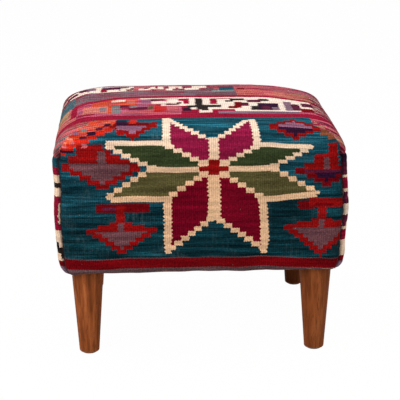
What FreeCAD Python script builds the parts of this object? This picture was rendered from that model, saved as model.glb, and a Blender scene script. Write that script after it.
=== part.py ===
"""Kilim footstool: a padded box seat in a flat-woven wool cover, on four turned legs that screw off.

Sizes are in millimetres. +Z is up, the front faces -Y, and the origin is on the floor under the
middle of the seat.
"""

import FreeCAD
import Part
import math
import os

# Overall
seat_width = 487.0
seat_depth = 424.0
seat_height = 400.0
body_clearance = 150.0  # floor to the underside of the cover

# Shape of the upholstery
side_bulge = 4.0
corner_radius = 28.0
top_roll_radius = 57.0
bottom_roll_radius = 10.0
crown_angle = 6.0  # slope of the top where it meets the roll
crown_share = 0.74  # share of the half depth where the crown is level
corner_growth = 0.6  # how fast the corners open out over the top roll
roll_sections = 5  # sections round the bottom roll

# Layers, from the outside in
cover_thickness = 3.0
layer_gap = 0.3
wadding_thickness = 5.0
padding_thickness = 6.0
seat_foam_height = 82.0

# Frame
rail_thickness = 16.0
deck_thickness = 9.0
block_width = 54.0
block_height = 34.0

# Legs
leg_inset_x = 48.0  # leg axis to the side wall of the cover
leg_inset_y = 40.0
leg_top_radius = 27.2
leg_foot_radius = 16.6
leg_foot_rounding = 3.0
leg_top_rounding = 0.8
felt_radius = 12.0
felt_thickness = 2.0

# Leg fixings
bolt_radius = 4.0
thread_pitch = 1.25
thread_depth = 0.65
wood_thread_pitch = 3.0
wood_thread_depth = 1.0
bolt_in_leg = 42.0
running_clearance = 0.06
bolt_passage = 0.6  # radial room round the bolt in block and washer
washer_radius = 13.0
washer_thickness = 2.0
nut_flange_radius = 9.0
nut_flange_thickness = 1.5
nut_barrel_radius = 5.2
nut_barrel_length = 11.0
nut_prong_length = 6.0
nut_prong_width = 2.4
nut_prong_thickness = 1.0
nut_prongs = 4
driven_clearance = 0.05

# Screws
screw_radius = 2.0
screw_head_radius = 4.0
screw_tip_length = 4.0
rail_screw_length = 50.0
block_screw_length = 65.0
deck_screw_length = 35.0
block_screw_rise = 0.62  # share of the block's height

# Sewing, hem and dust cover
seam_thread_radius = 0.9
seam_thread_gap = 0.1
seam_end_inset = 6.0  # the seams run on over the rolls this far in
hem_overlap = 12.0  # hem on the rail's underside
hem_leg_gap = 2.0
dust_cover_thickness = 0.8
dust_cover_overlap = 4.0  # dust cover's edge beyond the hem staples
staple_width = 10.0
staple_leg = 9.0
staple_wire = 0.8
hem_staple_pitch = 36.0
dust_staple_pitch = 58.0

# Sizes that follow
half_width = seat_width / 2 - side_bulge
half_depth = seat_depth / 2 - side_bulge
wadding_depth = cover_thickness + layer_gap
padding_depth = wadding_depth + wadding_thickness + layer_gap
frame_depth_in = padding_depth + padding_thickness
frame_half_width = half_width - frame_depth_in
frame_half_depth = half_depth - frame_depth_in
frame_bottom = body_clearance + cover_thickness
deck_top = seat_height - padding_depth - seat_foam_height
rail_top = deck_top - deck_thickness
rail_height = rail_top - frame_bottom
leg_x = half_width - leg_inset_x
leg_y = half_depth - leg_inset_y
leg_top = frame_bottom - washer_thickness
block_top = frame_bottom + block_height
hem_inset = frame_depth_in + hem_overlap
staple_inset = frame_depth_in + hem_overlap / 2
dust_cover_top = body_clearance - staple_wire
dust_cover_bottom = dust_cover_top - dust_cover_thickness

up = FreeCAD.Vector(0, 0, 1)
sides = {"front_left": (-1, -1), "front_right": (1, -1), "back_left": (-1, 1), "back_right": (1, 1)}


def moved(shape, x, y, z):
    """A copy of shape, shifted."""
    copy = shape.copy()
    copy.translate(FreeCAD.Vector(x, y, z))
    return copy


def box(low, high):
    """A box between two corners."""
    size = [b - a for a, b in zip(low, high)]
    return Part.makeBox(size[0], size[1], size[2], FreeCAD.Vector(*low))


def turned(outline):
    """A solid turned about Z from (radius, height) points that start and end on the axis."""
    points = [FreeCAD.Vector(r, 0, z) for r, z in outline]
    face = Part.Face(Part.makePolygon(points + points[:1]))
    return face.revolve(FreeCAD.Vector(), up, 360)


def tube(outer, inner, height):
    """A ring about Z that stands on the origin."""
    return Part.makeCylinder(outer, height).cut(Part.makeCylinder(inner, height))


def pointed(shape, place, direction):
    """A copy of shape with its +Z turned to direction and its origin put at place."""
    copy = shape.copy()
    turn = FreeCAD.Rotation(up, FreeCAD.Vector(*direction))
    copy.Placement = FreeCAD.Placement(FreeCAD.Vector(*place), turn)
    return copy


# Upholstery form

def form_profile(depth):
    """Sections (inset, height, corner radius) of the cover's outside, moved inwards by depth."""
    sections = []
    low_roll = bottom_roll_radius - depth
    for step in range(roll_sections):
        turn = 0.5 * math.pi * step / (roll_sections - 1)
        inset = bottom_roll_radius - low_roll * math.sin(turn)
        height = body_clearance + bottom_roll_radius - low_roll * math.cos(turn)
        sections.append((inset, height, corner_radius - inset))
    slope = math.radians(crown_angle)
    roll_end = top_roll_radius * (1 - math.sin(slope))
    crown_end = crown_share * half_depth
    crown_rise = 0.5 * math.tan(slope) * (crown_end - roll_end)
    roll_centre = seat_height - crown_rise - top_roll_radius * math.cos(slope)
    wall_low = body_clearance + bottom_roll_radius
    for step in range(1, 7):
        share = step / 7
        bulge = side_bulge * 0.5 * (1 - math.cos(2 * math.pi * share))
        height = wall_low + share * (roll_centre - wall_low)
        sections.append((depth - bulge, height, corner_radius - depth))
    roll = top_roll_radius - depth
    for step in range(8):
        turn = (0.5 * math.pi - slope) * step / 7
        inset = top_roll_radius - roll * math.cos(turn)
        corner = corner_radius - depth + corner_growth * (inset - depth)
        sections.append((inset, roll_centre + roll * math.sin(turn), corner))
    start = sections[-1]
    for step in range(1, 4):
        share = step / 3
        inset = start[0] + share * (crown_end - start[0])
        rise = (seat_height - depth - start[1]) * (1 - (1 - share) ** 2)
        corner = corner_radius - depth + corner_growth * (inset - depth)
        sections.append((inset, start[1] + rise, corner))
    return sections


def rounded_rectangle(inset, height, corner):
    """A level outline at the given inset from the cover's walls."""
    a = half_width - inset
    b = half_depth - inset
    r = min(corner, 0.8 * b)
    h = r * (1 - math.sqrt(0.5))
    edges = []
    for sx, sy in ((1, 1), (-1, 1), (-1, -1), (1, -1)):
        across = FreeCAD.Vector(sx * a, sy * (b - r), height)
        along = FreeCAD.Vector(sx * (a - r), sy * b, height)
        middle = FreeCAD.Vector(sx * (a - h), sy * (b - h), height)
        first, last = (across, along) if sx == sy else (along, across)
        edges.append((first, middle, last))
    outline = []
    for index, (first, middle, last) in enumerate(edges):
        following = edges[(index + 1) % 4][0]
        outline.append(Part.Arc(first, middle, last).toShape())
        outline.append(Part.LineSegment(last, following).toShape())
    return Part.Wire(outline)


def upholstery_form(depth):
    """The solid inside the cover's outside surface moved inwards by depth."""
    wires = [rounded_rectangle(*section) for section in form_profile(depth)]
    foot = Part.makeLoft(wires[:roll_sections], True, True)
    body = Part.makeLoft(wires[roll_sections - 1:], True, False)
    return foot.fuse(body)


def core_box(inset, low, high):
    """An upright box at the given inset from the cover's walls."""
    a = half_width - inset
    b = half_depth - inset
    return box((-a, -b, low), (a, b, high))


def seam_line(sx, sy):
    """The corner seam's line up the bulged wall, lying on the cover."""
    points = []
    proud = (seam_thread_radius + seam_thread_gap) * math.sqrt(0.5)
    for inset, height, corner in form_profile(0.0):
        reach = corner * (1 - math.sqrt(0.5)) - proud
        x = sx * (half_width - inset - reach)
        y = sy * (half_depth - inset - reach)
        if inset < seam_end_inset:
            points.append(FreeCAD.Vector(x, y, height))
    curve = Part.BSplineCurve()
    curve.interpolate(points)
    return curve.toShape()


def seam_thread(sx, sy):
    """The line of sewing thread down one corner seam."""
    line = seam_line(sx, sy)
    start = line.valueAt(line.FirstParameter)
    heading = line.tangentAt(line.FirstParameter)
    ring = Part.Wire(Part.makeCircle(seam_thread_radius, start, heading))
    return Part.Wire(line).makePipeShell([ring], True, True)


def kilim_cover():
    shell = upholstery_form(0.0).cut(upholstery_form(cover_thickness))
    shell = shell.cut(core_box(hem_inset, body_clearance - 1, frame_bottom + 1))
    for sx, sy in sides.values():
        reach = leg_top_radius + hem_leg_gap
        room = Part.makeCylinder(reach, 2 * cover_thickness)
        room = moved(room, sx * leg_x, sy * leg_y, body_clearance - 0.5 * cover_thickness)
        shell = shell.cut(room)
    return shell


def corner_seam_threads():
    return Part.makeCompound([seam_thread(sx, sy) for sx, sy in sides.values()])


def wadding():
    shell = upholstery_form(wadding_depth).cut(upholstery_form(wadding_depth + wadding_thickness))
    return shell.cut(core_box(frame_depth_in - layer_gap, frame_bottom, rail_top))


def padding(core, side):
    """Thin foam between one rail and the wadding."""
    a, b = frame_half_width, frame_half_depth
    wide, deep = seat_width, seat_depth
    low, high = body_clearance, deck_top
    cells = {
        "front": box((-wide, -deep, low), (wide, -b, high)),
        "back": box((-wide, b, low), (wide, deep, high)),
        "left": box((-wide, -b, low), (-a, b, high)),
        "right": box((a, -b, low), (wide, b, high)),
    }
    return core.common(cells[side])


def seat_foam(core):
    return core.common(core_box(0, deck_top, seat_height))


# Frame

def screw(length, room):
    """A countersunk screw with its head's face at the origin, pointing up; room widens it."""
    shank = screw_radius + room
    head = screw_head_radius + room
    tip = length - screw_tip_length
    neck = head - shank
    outline = [(0, 0), (head, 0), (shank, neck), (shank, tip), (0.3, length + room), (0, length + room)]
    return turned(outline)


def rail_screw_places():
    """Head places and directions of the screws through the long rails into the short ones."""
    places = []
    x = frame_half_width - 0.5 * rail_thickness
    for sx, sy in sides.values():
        for share in (0.25, 0.5, 0.75):
            z = frame_bottom + share * rail_height
            places.append(((sx * x, sy * frame_half_depth, z), (0, -sy, 0)))
    return places


def block_screw_places():
    """Screws through the corner blocks into the rails, two each way."""
    places = []
    ax = frame_half_width - rail_thickness
    ay = frame_half_depth - rail_thickness
    inner_x = ax - block_width
    inner_y = ay - block_width
    z = frame_bottom + block_screw_rise * block_height
    for sx, sy in sides.values():
        places.append(((sx * inner_x, sy * (inner_y + 12), z - 8), (sx, 0, 0)))
        places.append(((sx * (inner_x + 12), sy * inner_y, z + 4), (0, sy, 0)))
    return places


def deck_screw_places():
    """Screws down through the deck into the rails."""
    places = []
    x = frame_half_width - 0.5 * rail_thickness
    y = frame_half_depth - 0.5 * rail_thickness
    for sy in (-1, 1):
        for share in (-0.72, -0.24, 0.24, 0.72):
            places.append(((share * x, sy * y, deck_top), (0, 0, -1)))
    for sx in (-1, 1):
        for share in (-0.5, 0.5):
            places.append(((sx * x, share * y, deck_top), (0, 0, -1)))
    return places


def screws(places, length, room=0.0):
    form = screw(length, room)
    return Part.makeCompound([pointed(form, place, way) for place, way in places])


def drillings():
    """The room that every screw needs in the wood."""
    room = driven_clearance
    return [
        screws(rail_screw_places(), rail_screw_length, room),
        screws(block_screw_places(), block_screw_length, room),
        screws(deck_screw_places(), deck_screw_length, room),
    ]


def drilled(wood, holes):
    for group in holes:
        wood = wood.cut(group)
    return wood


def rails(holes):
    a, b = frame_half_width, frame_half_depth
    t = rail_thickness
    low, high = frame_bottom, rail_top
    forms = {
        "front_rail": box((-a, -b, low), (a, -b + t, high)),
        "back_rail": box((-a, b - t, low), (a, b, high)),
        "left_rail": box((-a, -b + t, low), (-a + t, b - t, high)),
        "right_rail": box((a - t, -b + t, low), (a, b - t, high)),
    }
    return {name: drilled(form, holes) for name, form in forms.items()}


def seat_deck(holes):
    a, b = frame_half_width, frame_half_depth
    return drilled(box((-a, -b, rail_top), (a, b, deck_top)), holes)


def corner_block(sx, sy, holes):
    ax = frame_half_width - rail_thickness
    ay = frame_half_depth - rail_thickness
    xs = sorted((sx * ax, sx * (ax - block_width)))
    ys = sorted((sy * ay, sy * (ay - block_width)))
    block = box((xs[0], ys[0], frame_bottom), (xs[1], ys[1], block_top))
    passage = Part.makeCylinder(bolt_radius + bolt_passage, block_height)
    socket = Part.makeCylinder(nut_barrel_radius + driven_clearance, nut_barrel_length)
    block = block.cut(moved(passage, sx * leg_x, sy * leg_y, frame_bottom))
    block = block.cut(moved(socket, sx * leg_x, sy * leg_y, block_top - nut_barrel_length))
    return drilled(block, holes)


# Legs and their fixings

def leg():
    length = leg_top - felt_thickness
    form = Part.makeCone(leg_foot_radius, leg_top_radius, length)
    rims = [edge for edge in form.Edges if edge.Closed and edge.BoundBox.ZLength < 1e-6]
    foot = [edge for edge in rims if edge.BoundBox.ZMin < length / 2]
    form = form.makeFillet(leg_foot_rounding, foot)
    rim = [edge for edge in form.Edges if edge.Closed and edge.BoundBox.ZMin > length - 1e-6]
    form = form.makeFillet(leg_top_rounding, rim)
    hole = Part.makeCylinder(bolt_radius + driven_clearance, bolt_in_leg + driven_clearance)
    form = form.cut(moved(hole, 0, 0, length - bolt_in_leg - driven_clearance))
    return moved(form, 0, 0, felt_thickness)


def hanger_bolt():
    """A wood thread in the leg and a machine thread up to the T-nut's top."""
    outline = [(0, leg_top - bolt_in_leg), (0.6, leg_top - bolt_in_leg)]
    turns = int((bolt_in_leg - 8) / wood_thread_pitch)
    for turn in range(turns):
        z = leg_top - bolt_in_leg + 2 + turn * wood_thread_pitch
        outline.append((bolt_radius - wood_thread_depth, z))
        outline.append((bolt_radius, z + 0.5 * wood_thread_pitch))
    outline.append((bolt_radius - wood_thread_depth, leg_top - 5))
    outline.append((bolt_radius, leg_top - 4))
    thread_start = leg_top + 2
    outline.append((bolt_radius, thread_start))
    turns = int((block_top - thread_start - 1) / thread_pitch)
    for turn in range(turns):
        z = thread_start + turn * thread_pitch
        outline.append((bolt_radius - thread_depth, z + 0.5 * thread_pitch))
        outline.append((bolt_radius, z + thread_pitch))
    outline.append((bolt_radius - thread_depth, block_top))
    outline.append((0, block_top))
    return turned(outline)


def t_nut():
    """A flanged nut with prongs, its flange's underside on the block's top."""
    bore = bolt_radius + running_clearance
    flange = moved(tube(nut_flange_radius, bore, nut_flange_thickness), 0, 0, block_top)
    barrel = tube(nut_barrel_radius, bore, nut_barrel_length)
    nut = flange.fuse(moved(barrel, 0, 0, block_top - nut_barrel_length))
    reach = nut_flange_radius - nut_prong_thickness
    for index in range(nut_prongs):
        low = (reach - nut_prong_thickness, -0.5 * nut_prong_width, block_top - nut_prong_length)
        high = (reach, 0.5 * nut_prong_width, block_top + 0.5 * nut_flange_thickness)
        prong = box(low, high)
        prong.rotate(FreeCAD.Vector(), up, 360 * index / nut_prongs + 45)
        nut = nut.fuse(prong)
    return nut.removeSplitter()


def leg_washer():
    ring = tube(washer_radius, bolt_radius + bolt_passage, washer_thickness)
    return moved(ring, 0, 0, leg_top)


def felt_pad():
    return Part.makeCylinder(felt_radius, felt_thickness)


# Hem and dust cover

def staple(crown_low):
    """A wire staple whose crown runs along X and whose legs point up."""
    w, half = staple_wire, 0.5 * staple_width
    depth = 0.5 * staple_wire
    crown = box((-half, -depth, crown_low), (half, depth, crown_low + w))
    low, high = crown_low, crown_low + staple_leg
    left = box((-half, -depth, low), (-half + w, depth, high))
    right = box((half - w, -depth, low), (half, depth, high))
    return crown.fuse(left).fuse(right).removeSplitter()


def staple_row(form, x, y, reach, along_y, count):
    """Copies of a staple evenly spread along one side."""
    row = []
    for index in range(count):
        share = (index + 0.5) / count * 2 - 1
        copy = form.copy()
        if along_y:
            copy.rotate(FreeCAD.Vector(), up, 90)
            row.append(moved(copy, x, share * reach, 0))
        else:
            row.append(moved(copy, share * reach, y, 0))
    return row


def staples(crown_low, pitch, inset):
    """Staples along all four rails, between the legs."""
    form = staple(crown_low)
    keep = leg_top_radius + hem_leg_gap + 0.5 * staple_width
    x, y = half_width - inset, half_depth - inset
    reach_x, reach_y = leg_x - keep, leg_y - keep
    row = []
    for sign in (-1, 1):
        row += staple_row(form, 0, sign * y, reach_x, False, int(2 * reach_x / pitch))
        row += staple_row(form, sign * x, 0, reach_y, True, int(2 * reach_y / pitch))
    return Part.makeCompound(row)


def dust_cover():
    inset = staple_inset - dust_cover_overlap
    sheet = core_box(inset, dust_cover_bottom, dust_cover_top)
    for sx, sy in sides.values():
        hole = Part.makeCylinder(leg_top_radius + hem_leg_gap, 4 * dust_cover_thickness)
        sheet = sheet.cut(moved(hole, sx * leg_x, sy * leg_y, dust_cover_bottom - dust_cover_thickness))
    return sheet


def build():
    """Every piece by its name."""
    holes = drillings()
    core = upholstery_form(padding_depth)
    pieces = {
        "kilim_cover": kilim_cover(),
        "corner_seam_threads": corner_seam_threads(),
        "wadding": wadding(),
        "seat_foam": seat_foam(core),
        "seat_deck": seat_deck(holes),
        "dust_cover": dust_cover(),
        "hem_staples": staples(dust_cover_top, hem_staple_pitch, staple_inset),
        "dust_cover_staples": staples(dust_cover_bottom - staple_wire, dust_staple_pitch, staple_inset + 4),
        "rail_screws": screws(rail_screw_places(), rail_screw_length),
        "block_screws": screws(block_screw_places(), block_screw_length),
        "deck_screws": screws(deck_screw_places(), deck_screw_length),
    }
    pieces.update(rails(holes))
    for side in ("front", "back", "left", "right"):
        pieces[side + "_padding"] = padding(core, side)
    makers = {"leg": leg, "hanger_bolt": hanger_bolt, "leg_washer": leg_washer, "felt_pad": felt_pad}
    forms = {name: maker() for name, maker in makers.items()}
    nuts = []
    for corner, (sx, sy) in sides.items():
        for name, form in forms.items():
            pieces[name + "_" + corner] = moved(form, sx * leg_x, sy * leg_y, 0)
        pieces["corner_block_" + corner] = corner_block(sx, sy, holes)
        nuts.append(moved(t_nut(), sx * leg_x, sy * leg_y, 0))
    pieces["t_nuts"] = Part.makeCompound(nuts)
    return pieces


os.makedirs("parts", exist_ok=True)
for name, shape in build().items():
    shape.exportStep("parts/" + name + ".step")
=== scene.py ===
"""Kilim stool: the sewn kilim cover, its stuffing, the wooden frame and the turned legs."""

import math

import bpy
import numpy as np
from mathutils import Matrix, Vector, noise


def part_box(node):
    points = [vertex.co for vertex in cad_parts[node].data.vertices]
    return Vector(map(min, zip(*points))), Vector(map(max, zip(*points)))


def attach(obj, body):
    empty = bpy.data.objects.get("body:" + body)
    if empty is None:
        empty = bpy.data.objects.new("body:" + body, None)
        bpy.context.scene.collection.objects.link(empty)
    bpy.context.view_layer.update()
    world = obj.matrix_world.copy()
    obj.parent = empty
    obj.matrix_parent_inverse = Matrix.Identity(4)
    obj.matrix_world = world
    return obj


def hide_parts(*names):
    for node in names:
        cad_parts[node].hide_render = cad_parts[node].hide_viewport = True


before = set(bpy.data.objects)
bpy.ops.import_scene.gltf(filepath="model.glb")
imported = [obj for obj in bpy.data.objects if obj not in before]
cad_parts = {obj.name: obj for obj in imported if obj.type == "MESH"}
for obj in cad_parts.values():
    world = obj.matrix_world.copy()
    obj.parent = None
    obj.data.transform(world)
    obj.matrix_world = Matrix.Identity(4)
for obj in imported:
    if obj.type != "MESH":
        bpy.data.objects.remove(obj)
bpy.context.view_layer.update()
bpy.ops.object.select_all(action="DESELECT")

# The upholstered body, in metres
half_width = 0.2395
half_depth = 0.208
clearance = 0.150
seat_height = 0.400
corner_radius = 0.028
corner_growth = 0.6
top_roll = 0.057
bottom_roll = 0.010
side_bulge = 0.004
crown_slope = math.radians(6)
crown_share = 0.74
cloth_thickness = 0.003
hem_inset = 0.0262
hem_rows = 5
panel_height = 0.2015
leg_room = 0.0286
leg_x = 0.1915
leg_y = 0.168
thread_radius = 0.0006
thread_swing = 0.0008
stitch_length = 0.007
corners = {
    "front_left": (-1, -1),
    "front_right": (1, -1),
    "back_left": (-1, 1),
    "back_right": (1, 1),
}

roll_end = top_roll * (1 - math.sin(crown_slope))
crown_end = crown_share * half_depth
crown_rise = 0.5 * math.tan(crown_slope) * (crown_end - roll_end)
roll_centre = seat_height - crown_rise - top_roll * math.cos(crown_slope)
wall_low = clearance + bottom_roll

# The order of a top face's corners, the other way round from a wall's
top_order = [0, 3, 2, 1]

# Lines on the long strip, in cloth millimetres from the front's bottom fold and from the middle
figures_end = 299
seat_start = 322
hooks_end = 450
seat_end = 526
back_start = 590
back_fold = 869
seat_left = -206
seat_right = 196

# Colours of the yarns, the wood and the rest
# The darker teal holds painted shade as well as the yarn's own deeper colour
teal_deep_shaded = (0.0031, 0.0240, 0.0312, 1)
teal_light = (0.009, 0.063, 0.090, 1)
teal_worn = (0.055, 0.095, 0.105, 1)
plum_light = (0.210, 0.0075, 0.039, 1)
plum_dark = (0.135, 0.0015, 0.010, 1)
cream = (0.70, 0.425, 0.245, 1)
cream_pale = (0.80, 0.62, 0.47, 1)
panel_cream = (0.84, 0.60, 0.43, 1)
ecru = (0.80, 0.65, 0.55, 1)
leaf_dark = (0.029, 0.041, 0.015, 1)
olive = (0.078, 0.067, 0.024, 1)
red = (0.22, 0.004, 0.004, 1)
crimson = (0.137, 0.0018, 0.0037, 1)
cerise = (0.25, 0.006, 0.027, 1)
mauve = (0.118, 0.047, 0.054, 1)
lilac = (0.24, 0.10, 0.16, 1)
violet = (0.022, 0.005, 0.020, 1)
maroon = (0.085, 0.010, 0.030, 1)
orange = (0.56, 0.066, 0.021, 1)
scarlet = (0.45, 0.016, 0.008, 1)
salmon = (0.60, 0.19, 0.13, 1)
pink = (0.52, 0.095, 0.155, 1)
rose = (0.43, 0.092, 0.102, 1)
slate = (0.19, 0.11, 0.15, 1)
grey_teal = (0.15, 0.17, 0.17, 1)
tan = (0.34, 0.20, 0.11, 1)
hem_grey = (0.095, 0.052, 0.055, 1)
black = (0.016, 0.011, 0.009, 1)
rust = (0.19, 0.055, 0.025, 1)
lint = (0.50, 0.42, 0.36, 1)
seam_shade = (0.010, 0.006, 0.007, 1)
pore_brown = (0.075, 0.022, 0.007, 1)
# A dark brown for painted shade on the legs
painted_shade_brown = (0.095, 0.023, 0.006, 1)
bare_wood = (0.36, 0.16, 0.07, 1)
white = (1, 1, 1, 1)
floor_grey = (0.85, 0.85, 0.85, 1)


def math_method(operation, swapped=False):
    """A method that adds a Math node; swapped puts the other value first."""
    def method(value, *other):
        values = (value, *other)
        return value.finish.math(operation, *(values[::-1] if swapped else values))
    return method


class Value:
    """A socket in one finish; arithmetic and comparisons on it add Math nodes."""

    def __init__(self, finish, socket):
        self.finish = finish
        self.socket = socket
        self.name = (socket.node.name, socket.identifier)

    __add__ = __radd__ = math_method("ADD")
    __sub__ = math_method("SUBTRACT")
    __rsub__ = math_method("SUBTRACT", swapped=True)
    __mul__ = __rmul__ = __and__ = math_method("MULTIPLY")
    __truediv__ = math_method("DIVIDE")
    __lt__ = math_method("LESS_THAN")
    __gt__ = math_method("GREATER_THAN")
    __or__ = math_method("MAXIMUM")
    __abs__ = math_method("ABSOLUTE")


class Finish:
    """A material, and the one way that nodes are added to it."""

    def __init__(self, name, tree=None):
        if tree is None:
            self.material = bpy.data.materials.new(name)
            self.material.use_nodes = True
            tree = self.material.node_tree
        self.tree = tree
        self.tree.nodes.clear()
        self.known = {}

    def node(self, kind, settings, sockets, output=0):
        """Adds a node, or finds the one that already says the same."""
        inputs = {name: getattr(value, "name", value) for name, value in sockets.items()}
        key = str((kind, settings, inputs, output))
        if key not in self.known:
            self.known[key] = self.new_node(kind, settings, sockets, output)
        return self.known[key]

    def new_node(self, kind, settings, sockets, output):
        made = self.tree.nodes.new(kind)
        for name, value in settings.items():
            if name == "stops":
                for place, colour in value[1:-1]:
                    made.color_ramp.elements.new(place)
                for element, (place, colour) in zip(made.color_ramp.elements, value):
                    element.position = place
                    element.color = colour
            else:
                setattr(made, name, value)
        for name, value in sockets.items():
            if isinstance(value, Value):
                self.tree.links.new(value.socket, made.inputs[name])
            else:
                made.inputs[name].default_value = value
        return Value(self, made.outputs[output]) if made.outputs else made

    def math(self, operation, *values):
        return self.node("ShaderNodeMath", {"operation": operation}, dict(enumerate(values)))

    def mix(self, share, first, second, way="MIX"):
        settings = {"data_type": "RGBA", "blend_type": way}
        return self.node("ShaderNodeMix", settings, {0: share, 6: first, 7: second}, 2)

    def vector(self, x, y, z=0.0):
        return self.node("ShaderNodeCombineXYZ", {}, {0: x, 1: y, 2: z})

    def parts(self, vector):
        made = self.node("ShaderNodeSeparateXYZ", {}, {0: vector})
        return [Value(self, socket) for socket in made.socket.node.outputs]

    def clouds(self, place, scale, detail=2.0, output=0, roughness=0.5):
        sockets = {"Vector": place, "Scale": scale, "Detail": detail, "Roughness": roughness}
        return self.node("ShaderNodeTexNoise", {}, sockets, output)

    def ramp(self, share, stops):
        return self.node("ShaderNodeValToRGB", {"stops": stops}, {0: share})

    def place(self, stretch=(1, 1, 1)):
        whole = self.node("ShaderNodeTexCoord", {}, {}, "Object")
        return self.node("ShaderNodeMapping", {}, {0: whole, 3: stretch})

    def bump(self, height, strength, distance):
        sockets = {"Strength": strength, "Distance": distance, "Height": height}
        return self.node("ShaderNodeBump", {}, sockets)

    def surface(self, **sockets):
        named = {name.replace("_", " "): value for name, value in sockets.items()}
        shader = self.node("ShaderNodeBsdfPrincipled", {}, named)
        self.node("ShaderNodeOutputMaterial", {}, {"Surface": shader})
        return self.material


def span(value, low, high):
    """1 where the value lies between low and high."""
    return value.finish.math("COMPARE", value, (low + high) / 2, (high - low) / 2)


def steps(value, size):
    """The value in whole steps, each at its middle."""
    return value.finish.math("SNAP", value, size) + size / 2


def zigzag(value, reach):
    """Runs up and down between minus and plus half the reach."""
    return value.finish.math("PINGPONG", value, reach) - reach / 2


def limit(value):
    return value.finish.node("ShaderNodeClamp", {}, {0: value})


class Loom:
    """Weaves figures in cloth millimetres, each colour laid over the last."""

    row = 7.0
    run_length = 12

    def __init__(self, finish, u, v, tooth, ink):
        self.finish = finish
        self.u = u
        self.v = v
        self.toothed = u + tooth
        self.ink = ink

    def lay(self, colour, mask):
        self.ink = self.finish.mix(mask, self.ink, colour)

    def block(self, colour, left, right, low, high):
        self.lay(colour, span(self.toothed, left, right) & span(self.v, low, high))

    def blocks(self, *figures):
        for figure in figures:
            self.block(*figure)

    def diamond(self, u, v, half, rise, fall, rim, edge, below=None, above=None):
        """A stepped diamond, its halves filled with their own colours inside the rim."""
        across = abs(self.u - u)
        level = steps(self.v - v, self.row)
        reach = (1 - (level * (1 / rise) | level * (-1 / fall))) * half
        self.lay(rim, across < reach)
        inside = across < reach - edge
        if below:
            self.lay(below, inside & (level < 0))
        if above:
            self.lay(above, inside & (level > 0))

    def streaks(self, region, *runs, fine=0.2):
        """Thin runs of other yarns along the weft: each a colour, a start and a level."""
        for colour, start, level in runs:
            mapped = self.finish.node("ShaderNodeUVMap", {"uv_map": "cloth"}, {})
            sockets = {0: mapped, 1: (0, start, 0), 3: (self.run_length / fine, 1000, 1)}
            place = self.finish.node("ShaderNodeMapping", {}, sockets)
            run = self.finish.clouds(place, fine, 2.0)
            self.lay(colour, region & (run > level))

    def arrow(self, u, v, half, fall, bar):
        """A hooked arrow that points down from a bar on a stem."""
        left, right, low, high = bar
        self.diamond(u, v, half, 9, fall, red, 15, below=mauve)
        self.blocks(
            (crimson, left, right, low, high),
            (red, u - 7, u + 7, v + 10, low + 12),
            (red, u - 18, u + 18, v + 2, v + 12),
            (red, u - half + 8, u + half - 8, v - 4, v + 2),
            (mauve, u - 5, u + 5, v - 8, v + 11),
        )

    def star(self, u, v):
        """The eight-armed star with its stepped cream outline, measured in its own steps."""
        rise = self.v - v
        side = self.u - u
        upper = rise > 0
        right = side > 0
        lower_left = (1 - upper) & (1 - right)
        width = 13.4 - right * ((rise | -95) * 0.0155 + 0.4)
        across = abs(side) / width
        upright = abs(self.toothed - u) / width
        deep = abs(rise) / (8.5 - upper * (right * 0.65 + 1.75))
        shift = lower_left * 0.4 + 0.1
        row = steps(deep + shift, 1) - shift
        climb = steps(rise - 49, self.row)
        notch_up = climb * (0.13 - climb * 0.0009) + 0.95 - right * 0.35
        notch = upper * notch_up + (1 - upper) * (row - 9.5) * 0.795
        end = 5.85 + (upper & (1 - right)) * 0.55 - right * (across - 9) * 0.09
        lean = across - row
        plum = self.finish.mix(upper, plum_dark, plum_light)
        self.lay(plum, (across < 5.7) & (lean < 0) & (across > notch) & (deep < 16.2))
        leaf = self.finish.mix(upper, olive, leaf_dark)
        tip = 13.05 - right * (0.43 - upper * 0.23)
        self.lay(leaf, span(lean, 0, 7.2) & (deep < end) & (upright < tip - 0.3))
        pale = self.finish.mix(limit(rise * 0.011 + 0.18), cream, cream_pale)
        outer = abs(lean - 7.2 - lower_left * 0.5) < 0.5 + upper * 0.07
        self.lay(pale, outer & (deep < end - 0.53) & (upright < tip))
        self.lay(pale, (abs(lean) < 0.5 + upper * 0.05) & (across < 6))
        bar = (across > 5.2) & (upright < tip - (deep > end + upper * 9) * 0.5)
        self.lay(pale, bar & (abs(deep - end) < 0.56 + upper * 0.08))
        narrowed = limit((deep - 14.6) * 0.5) & (1 - upper)
        post_end = 16.9 + (1 - upper) * (right * 0.25 + 0.2)
        post = (upright > 5.22) & (upright < 6.2 - narrowed * 0.26)
        self.lay(pale, post & (deep > 5.6) & (deep < post_end))
        self.lay(pale, (abs(across - notch) < 0.47) & (across < 5.6) & span(deep, 7, 16.4))
        self.lay(pale, (upright < 0.74 - upper * 0.12) & (abs(rise) < 87 - upper * 37))
        self.lay(pale, (across < 8) & span(rise, -5.8, 3.6))
        self.lay(pale, (across < 1.83) & span(rise, -15.5, 13.7))
        self.lay(red, (across < 1.83) & span(rise, -4.6, 3.6))
        self.lay(red, (across < 0.68) & span(rise, -11.3, 13.7))


def cloth_place(finish):
    """Cloth millimetres from the cover's own map, and the same with a weaver's small slips."""
    mapped = finish.node("ShaderNodeUVMap", {"uv_map": "cloth"}, {})
    u, v = (part * 1000 for part in finish.parts(mapped)[:2])
    slips = finish.clouds(finish.vector(u, v), 0.016, 1.0, output=1)
    slip_u, slip_v = finish.parts(slips)[:2]
    pass_u = finish.math("FLOOR", u * 0.05)
    pass_v = finish.math("FLOOR", v * 0.29)
    sockets = {"Vector": finish.vector(pass_u, pass_v)}
    stray = finish.node("ShaderNodeTexWhiteNoise", {"noise_dimensions": "2D"}, sockets)
    woven_u = u + (slip_u - 0.5) * 6 + (stray - 0.5) * 1.6
    woven_v = v + (slip_v - 0.5) * 6 + zigzag(u, 2.2) * 0.5
    return u, v, woven_u, woven_v, zigzag(v, 3.4) * 0.85


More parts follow.
